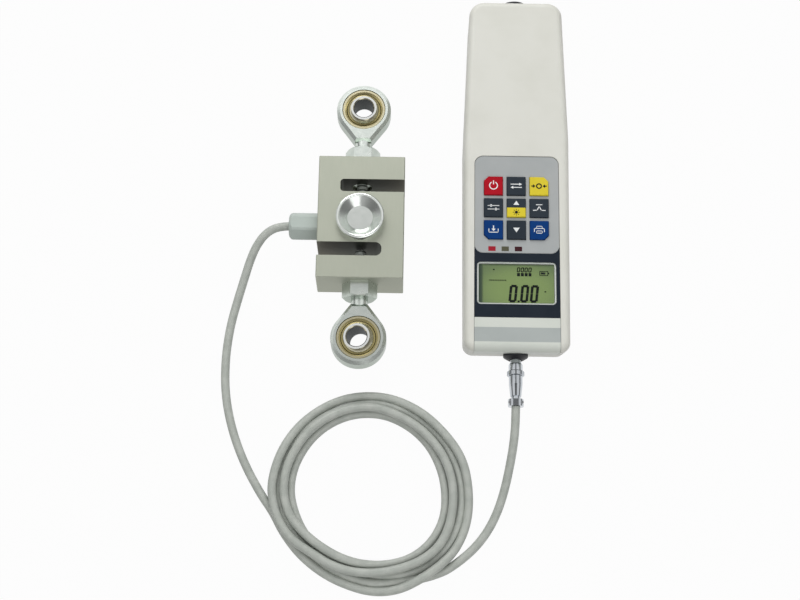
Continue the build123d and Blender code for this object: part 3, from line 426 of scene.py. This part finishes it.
def bronze_race():
    """The race: its turned face pale and bright, and painted shade on its bevels, which are darker than the
    face.
    """
    finish = Finish("bronze_race")
    patches = finish.noise(3, 3)
    turned = finish.mix(patches, tone(222, 214, 182), tone(206, 197, 162))
    # painted shade: the bevels, which face away from up, are darker than the face
    tint = finish.mix(finish.facing_up().ramp(0.85, 0.97), tone(196, 188, 150), turned)
    skin = finish.bump(patches, 0.004)
    return finish.use(Base_Color=tint, Roughness=patches * 0.1 + 0.25, Metallic=1.0, Normal=skin)


def ball_steel():
    """The ball: a painted highlight on the rim, which faces up and is lighter than the yellowish flank, and
    painted shade in the bore, which is also rougher.
    """
    finish = Finish("ball_steel")
    across = finish.along("X") - CELL_X
    along = finish.along("Y")
    halfway = (UPPER_EYE_Y + LOWER_EYE_Y) / 2
    from_eye = (along - halfway).size() - (UPPER_EYE_Y - halfway)
    radius = (across * across + from_eye * from_eye) ** 0.5
    patches = finish.noise(5, 3)
    up = finish.facing_up()
    # the bore: painted shade, and a rougher surface
    bore = radius.below(BORE_EDGE) * up.size().below(0.6)
    rim = up.ramp(0.90, 0.985)
    # painted highlight: the rim that faces up is lighter than the flank
    ground = finish.mix(rim, tone(212, 206, 180), tone(236, 238, 236))
    # painted shade in the bore
    tint = finish.mix(bore, ground, tone(58, 62, 62))
    sheen = bore * 0.35 + patches * 0.08 + 0.12
    return finish.use(Base_Color=tint, Roughness=sheen, Metallic=1.0, Normal=finish.bump(patches, 0.003))


def lens(name, colour, glow=None):
    """A small coloured lens with fine prisms inside, lit or unlit."""
    finish = Finish(name)
    prisms = (finish.along("X") * 6).wave() * (finish.along("Y") * 6).wave()
    darker = tuple(v * 0.75 for v in colour[:3]) + (1,)
    tint = finish.mix(prisms * 0.5 + 0.5, colour, darker)
    if glow:
        finish.use(Emission_Color=glow, Emission_Strength=1.0)
    skin = finish.bump(prisms, 0.03)
    return finish.use(Base_Color=tint, Roughness=0.22, Normal=skin, Specular_IOR_Level=0.15)


def cord_jacket():
    """Grey PVC with a faint uneven skin."""
    finish = Finish("cord_jacket")
    patches = finish.noise(7, 4, 0.6)
    tint = finish.mix(patches.ramp(0.3, 0.7), tone(185, 189, 182), tone(171, 176, 169))
    skin = finish.bump(finish.noise(1.2, 3), 0.02)
    return finish.use(Base_Color=tint, Roughness=patches * 0.1 + 0.42, Normal=skin)


def two_tone_key():
    """The middle key: slate above, yellow below."""
    finish = Finish("key_two_tone")
    lower = finish.along("Y").below(middle("key_up")[1])
    tint = finish.mix(lower, SLATE, YELLOW)
    skin = finish.bump(finish.noise(0.35, 1), 0.006)
    sheen = finish.noise(6, 2) * 0.08 + 0.42
    return finish.use(Base_Color=tint, Roughness=sheen, Normal=skin, Specular_IOR_Level=0.08)


def display_glass():
    """The green display: lighter in its lower middle, shaded by its bezel at the left and top."""
    finish = Finish("lcd_green")
    side = (finish.along("X") - GLOW_CENTRE[0]) / GLOW_REACH[0]
    low = (finish.along("Y") - GLOW_CENTRE[1]) / GLOW_REACH[1]
    glow = 1 - (side * side + low * low).ramp(0.1, 1.6)
    tint = finish.mix(glow, tone(118, 137, 98), tone(142, 164, 106))
    left = 1 - finish.along("X").ramp(*LEFT_SHADOW)
    top = finish.along("Y").ramp(*TOP_SHADOW)
    shaded = finish.mix(left.either(top * 0.6), tint, tone(72, 87, 72))
    grain = finish.noise(0.4, 1)
    return finish.use(
        Base_Color=shaded, Roughness=grain * 0.05 + 0.4, Normal=finish.bump(grain, 0.002),
        Specular_IOR_Level=0.1,
    )


def clear_pane():
    """A thin clear window over the display."""
    finish = Finish("window_clear")
    smear = finish.noise(11, 3)
    return finish.use(
        Base_Color=(0.02, 0.03, 0.02, 1), Roughness=smear * 0.06 + 0.04, Alpha=0.05, Specular_IOR_Level=0.3,
    )


finishes = {
    "cream_shell": moulded("cream_shell", tone(222, 222, 214), tone(217, 217, 208)),
    "cover_cream": moulded("cover_cream", tone(214, 218, 210), tone(208, 213, 205)),
    "label_grey": film("label_grey", tone(177, 183, 181), tone(172, 178, 176)),
    "keypad_grey": film("keypad_grey", tone(174, 177, 177), tone(169, 173, 173)),
    "mask_navy": film("mask_navy", tone(38, 45, 54), tone(32, 40, 49), 0.42),
    "window_clear": clear_pane(),
    "bezel_light": film("bezel_light", tone(236, 241, 236), tone(230, 236, 230)),
    "lcd_green": display_glass(),
    "backlight_white": moulded("backlight_white", tone(228, 228, 222), tone(220, 221, 216)),
    "light_red": lens("light_red", tone(164, 32, 46), tone(50, 6, 14)),
    "light_olive": lens("light_olive", tone(94, 93, 74)),
    "light_dark_red": lens("light_dark_red", tone(68, 32, 38)),
    "key_red": film("key_red", tone(176, 20, 36), tone(168, 16, 32), 0.42),
    "key_slate": film("key_slate", SLATE, tone(45, 53, 61), 0.42),
    "key_yellow": film("key_yellow", YELLOW, tone(216, 196, 54), 0.42),
    "key_blue": film("key_blue", tone(10, 60, 122), tone(8, 54, 115), 0.42),
    "key_two_tone": two_tone_key(),
    "board_green": film("board_green", tone(38, 96, 62), tone(30, 84, 52), 0.35),
    "switch_steel": metal("switch_steel", tone(200, 201, 203), tone(188, 189, 191), 0.3),
    "chip_black": moulded("chip_black", tone(38, 38, 40), tone(30, 30, 32)),
    "battery_wrap": film("battery_wrap", tone(52, 96, 66), tone(44, 88, 58), 0.3),
    "collar_black": moulded("collar_black", tone(26, 26, 32), tone(20, 20, 26), 0.45),
    "plated_steel": metal("plated_steel", tone(206, 210, 214), tone(194, 199, 204), 0.12, 8.0, 0.002),
    "contact_brass": metal("contact_brass", tone(212, 180, 102), tone(198, 165, 88), 0.25),
    "screw_steel": metal("screw_steel", tone(178, 180, 182), tone(160, 162, 165), 0.32),
    "insert_brass": metal("insert_brass", tone(196, 164, 96), tone(180, 148, 82), 0.35),
    "cell_steel": cell_steel(),
    "cap_stainless": metal("cap_stainless", tone(240, 244, 240), tone(232, 237, 232), 0.18, 6.0, 0.002),
    "gauge_foil": film("gauge_foil", tone(196, 142, 66), tone(184, 130, 58), 0.4),
    "gland_grey": moulded("gland_grey", tone(186, 196, 190), tone(178, 188, 182), 0.42, 0.8),
    "seal_rubber": moulded("seal_rubber", tone(52, 52, 52), tone(44, 44, 44), 0.6),
    "zinc_steel": threaded_steel(),
    "bronze_race": bronze_race(),
    "ball_steel": ball_steel(),
}
white_ink = film("white_ink", tone(238, 240, 240), tone(230, 233, 233))
dark_ink = film("dark_ink", tone(30, 34, 34), tone(24, 28, 28))


def dress(piece, finish):
    """Gives a piece one finish and no other."""
    piece.data.materials.clear()
    piece.data.materials.append(finish)


# nodes whose look differs from the rest of their slot; the cord's own nodes have none, as the cord
# replaces them
OWN_FINISH = {"key_up": "key_two_tone", "end_cover": "cover_cream"}
for entry in frame["record"]["subparts"]:
    dress_as = OWN_FINISH.get(entry["node"], entry["material_slot"])
    if dress_as in finishes:
        dress(nodes[entry["node"]], finishes[dress_as])
cord.data.materials.append(cord_jacket())

# ---- prints: signs on the keys, figures in the display ---------------------------------

INK_SUNK = 0.02
INK_PROUD = 0.04
ARC_STEP = 15


def box(left, low, right, high):
    """A rectangle."""
    return [[(left, low), (right, low), (right, high), (left, high)]]


def stroke(points, width):
    """A line of a given width, with one rectangle to each run."""
    runs = []
    for (x, y), (next_x, next_y) in zip(points, points[1:]):
        run = hypot(next_x - x, next_y - y)
        ahead = ((next_x - x) / run * width / 2, (next_y - y) / run * width / 2)
        side = (-ahead[1], ahead[0])
        start = (x - ahead[0], y - ahead[1])
        stop = (next_x + ahead[0], next_y + ahead[1])
        runs.append([
            (start[0] - side[0], start[1] - side[1]), (stop[0] - side[0], stop[1] - side[1]),
            (stop[0] + side[0], stop[1] + side[1]), (start[0] + side[0], start[1] + side[1]),
        ])
    return runs


def arc(radius, width, start=0, stop=360, centre=(0, 0)):
    """Part of a ring, in short pieces."""
    pieces = []
    for angle in range(start, stop, ARC_STEP):
        ends = [(cos(radians(a)), sin(radians(a))) for a in (angle, angle + ARC_STEP)]
        inner, outer = radius - width / 2, radius + width / 2
        pieces.append([
            (centre[0] + x * r, centre[1] + y * r)
            for (x, y), r in ((ends[0], inner), (ends[0], outer), (ends[1], outer), (ends[1], inner))
        ])
    return pieces


def mirrored(polygons):
    """The same shapes turned half round."""
    return [[(-x, -y) for x, y in polygon] for polygon in polygons]


def ink(name, polygons, node, body, slot, finish):
    """A thin print on a node's top: flat polygons round its middle, in millimetres."""
    place = middle(node)
    face = top(node)
    mesh = bmesh.new()
    for polygon in polygons:
        rings = [
            [mesh.verts.new(((place[0] + x) * MM, (place[1] + y) * MM, z * MM)) for x, y in polygon]
            for z in (face - INK_SUNK, face + INK_PROUD)
        ]
        mesh.faces.new(rings[0])
        mesh.faces.new(rings[1])
        for i in range(len(polygon)):
            mesh.faces.new((rings[0][i - 1], rings[0][i], rings[1][i], rings[1][i - 1]))
    bmesh.ops.recalc_face_normals(mesh, faces=mesh.faces)
    data = bpy.data.meshes.new(name)
    mesh.to_mesh(data)
    mesh.free()
    piece = bpy.data.objects.new(name, data)
    bpy.context.collection.objects.link(piece)
    dress(piece, finish)
    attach(piece, body)


ARROW_RIGHT = box(-3.3, 0.75, 1.7, 1.25) + [[(1.7, 0.1), (3.4, 1.0), (1.7, 1.9)]]
ARROW_IN = box(-4.5, -0.35, -3.5, 0.35) + [[(-3.5, -1.2), (-2.1, 0.0), (-3.5, 1.2)]]
SUN_DROP = -2.9
SUN = arc(0.45, 0.9, centre=(0, SUN_DROP)) + [
    polygon for turn in range(0, 360, 45)
    for polygon in stroke(
        [(r * cos(radians(turn)), r * sin(radians(turn)) + SUN_DROP) for r in (1.4, 1.9)], 0.35
    )
]

# each key's sign and its ink
KEY_SIGNS = {
    "key_power": (arc(2.3, 0.6, 120, 420) + box(-0.3, 0.7, 0.3, 3.2), "white"),
    "key_unit": (ARROW_RIGHT + mirrored(ARROW_RIGHT), "white"),
    "key_zero": (arc(1.4, 0.75) + ARROW_IN + mirrored(ARROW_IN), "dark"),
    "key_set": (
        stroke([(-3.2, 1.1), (3.2, 1.1)], 0.4) + stroke([(-3.2, -1.1), (3.2, -1.1)], 0.4)
        + box(-1.9, 0.3, -0.9, 1.9) + box(0.9, -1.9, 1.9, -0.3), "white",
    ),
    "key_up": ([[(-1.7, 1.7), (1.7, 1.7), (0, 4.3)]], "white"),
    "key_peak": (
        stroke([(-3.4, -1.5), (-1.3, -1.5), (0, 1.0), (1.3, -1.5), (3.4, -1.5)], 0.5)
        + stroke([(-1.6, 2.0), (1.6, 2.0)], 0.45), "white",
    ),
    "key_memory": (
        stroke([(-2.7, 0.2), (-2.7, -1.8), (2.7, -1.8), (2.7, 0.2)], 0.45)
        + box(-0.3, 0.3, 0.3, 2.4) + [[(-1.2, 0.4), (0, -1.1), (1.2, 0.4)]], "white",
    ),
    "key_down": ([[(-1.9, 1.2), (0, -1.7), (1.9, 1.2)]], "white"),
    "key_print": (
        stroke([(-2.9, -1.0), (-2.9, 0.9), (2.9, 0.9), (2.9, -1.0)], 0.45)
        + stroke([(-1.6, 1.1), (-1.6, 2.3), (1.6, 2.3), (1.6, 1.1)], 0.35)
        + stroke([(-1.7, -0.6), (-1.7, -2.0), (1.7, -2.0), (1.7, -0.6), (-1.7, -0.6)], 0.4), "white",
    ),
}
# the slot and the finish of each ink
INKS = {"white": ("bezel_light", white_ink), "dark": ("mask_navy", dark_ink)}

for key, (polygons, colour) in KEY_SIGNS.items():
    ink(key + "_sign", polygons, key, key, *INKS[colour])
ink("key_up_sun", SUN, "key_up", "key_up", *INKS["dark"])

# a seven-bar nought, as shares of its width and height: every bar but the middle one
NOUGHT_BARS = (
    ((0, 1), (1, 1)), ((1, 1), (1, 0.5)), ((1, 0.5), (1, 0)), ((0, 0), (1, 0)), ((0, 0), (0, 0.5)),
    ((0, 0.5), (0, 1)),
)
BAR_GAP = 0.55
SLANT = 0.1

# the display's figures, from its middle: boxes are left, low, right, high
READING_LEFTS = (-4.0, 2.6, 8.2)
READING_LOW = -10.7
READING_POINT = (0.5, -11.4, 1.7, -10.2)
SMALL_FIRST = 0.4
SMALL_PITCH = 2.2
BATTERY = ((13.4, 5.2), (18.0, 5.2), (18.0, 7.6), (13.4, 7.6), (13.4, 5.2))
BATTERY_TIP = (18.2, 5.9, 18.8, 6.9)
BATTERY_CHARGE = (14.0, 5.8, 16.6, 7.0)
TICK_FIRST = -15.6
DOTS = ((-13.6, 8.0, -12.6, 8.8), (16.0, -5.1, 17.0, -4.3))


def nought(left, low, width, height, thick):
    """One seven-bar nought, which leans to the right."""
    polygons = []
    for bar in NOUGHT_BARS:
        (x, y), (next_x, next_y) = [(left + u * width, low + v * height) for u, v in bar]
        run = hypot(next_x - x, next_y - y)
        gap = BAR_GAP * thick / run
        ends = [(x + (next_x - x) * t, y + (next_y - y) * t) for t in (gap, 1 - gap)]
        polygons += stroke(ends, thick)
    return [[(px + SLANT * (py - low), py) for px, py in polygon] for polygon in polygons]


def display_figures():
    """The reading and its point, a small row over a row of blocks, a battery, ticks and two dots."""
    polygons = box(*READING_POINT)
    for left in READING_LEFTS:
        polygons += nought(left, READING_LOW, 3.1, 9.2, 1.5)
    for column in range(4):
        left = SMALL_FIRST + SMALL_PITCH * column
        polygons += nought(left, 7.2, 1.3, 2.4, 0.6)
        polygons += box(left - 0.1, 4.5, left + 1.6, 6.5)
    polygons += stroke(BATTERY, 0.4)
    polygons += box(*BATTERY_TIP)
    polygons += box(*BATTERY_CHARGE)
    for column in range(10):
        left = TICK_FIRST + column
        polygons += box(left, 1.5, left + 0.6, 2.3)
    for dot in DOTS:
        polygons += box(*dot)
    return polygons


ink("display_figures", display_figures(), "lcd_panel", "instrument", *INKS["dark"])

# ---- stage: floor, world and lamps ----------------------------------------------------

FLOOR_RADIUS = 6
FLOOR_DROP = 0.0002
FLOOR_GREY = (0.36, 0.36, 0.36, 1)
FLOOR_SEEN = 0.97


def make_floor():
    """A white sheet, seen bright by the camera, with the object's shadow left faintly in it."""
    mesh = bmesh.new()
    bmesh.ops.create_circle(mesh, cap_ends=True, segments=64, radius=FLOOR_RADIUS)
    data = bpy.data.meshes.new("floor")
    mesh.to_mesh(data)
    floor = bpy.data.objects.new("floor", data)
    floor.location.z = -FLOOR_DROP
    bpy.context.collection.objects.link(floor)
    finish = Finish("floor_white")
    tree = finish.tree
    finish.use(Base_Color=FLOOR_GREY, Roughness=0.9)
    light = tree.nodes.new("ShaderNodeEmission")
    light.inputs["Color"].default_value = (1, 1, 1, 1)
    camera_ray, glossy_ray, transmission_ray = [
        finish.node("ShaderNodeLightPath", output=name)
        for name in ("Is Camera Ray", "Is Glossy Ray", "Is Transmission Ray")
    ]
    seen = (camera_ray + glossy_ray + transmission_ray) * FLOOR_SEEN
    blend = tree.nodes.new("ShaderNodeMixShader")
    tree.links.new(seen.socket, blend.inputs[0])
    tree.links.new(finish.shader.outputs[0], blend.inputs[1])
    tree.links.new(light.outputs[0], blend.inputs[2])
    tree.links.new(blend.outputs[0], tree.nodes["Material Output"].inputs["Surface"])
    dress(floor, finish.material)


# how high a direction of the room points, 0 level and 1 straight up, and how bright the room is there
ROOM = (
    (0.0, 0.50), (0.12, 0.42), (0.24, 0.14), (0.40, 0.18), (0.54, 0.80), (0.92, 0.88),
    (0.955, 0.20), (1.0, 0.10),
)


def make_world():
    """A studio room: pale low walls, dim higher ones, a broad bright ring overhead and a dark zenith."""
    world = bpy.data.worlds.new("studio")
    world.use_nodes = True
    bpy.context.scene.world = world
    tree = world.node_tree
    where = tree.nodes.new("ShaderNodeTexCoord")
    split = tree.nodes.new("ShaderNodeSeparateXYZ")
    ramp = tree.nodes.new("ShaderNodeValToRGB")
    tree.links.new(where.outputs["Generated"], split.inputs[0])
    tree.links.new(split.outputs["Z"], ramp.inputs["Fac"])
    tree.links.new(ramp.outputs["Color"], tree.nodes["Background"].inputs["Color"])
    elements = ramp.color_ramp.elements
    elements[0].position, elements[1].position = ROOM[0][0], ROOM[-1][0]
    for position, level in ROOM[1:-1]:
        elements.new(position)
    for element, (position, level) in zip(elements, ROOM):
        element.color = (level, level, level, 1)


# each lamp's name, place, width in metres and power in watts
LAMPS = (
    ("key_lamp", (-0.3, 1.35, 0.85), 1.3, 13.4),
    ("fill_lamp", (0.4, -1.1, 1.1), 1.4, 4.5),
)


def make_lamp(name, place, size, power):
    """A round soft lamp that faces the origin."""
    lamp = bpy.data.objects.new(name, bpy.data.lights.new(name, "AREA"))
    lamp.data.shape = "DISK"
    lamp.data.size = size
    lamp.data.energy = power
    lamp.location = place
    lamp.rotation_euler = (-Vector(place)).to_track_quat("-Z", "Y").to_euler()
    bpy.context.collection.objects.link(lamp)


make_floor()
make_world()
for lamp_values in LAMPS:
    make_lamp(*lamp_values)

bpy.context.scene.view_settings.view_transform = "Standard"

bpy.context.view_layer.update()
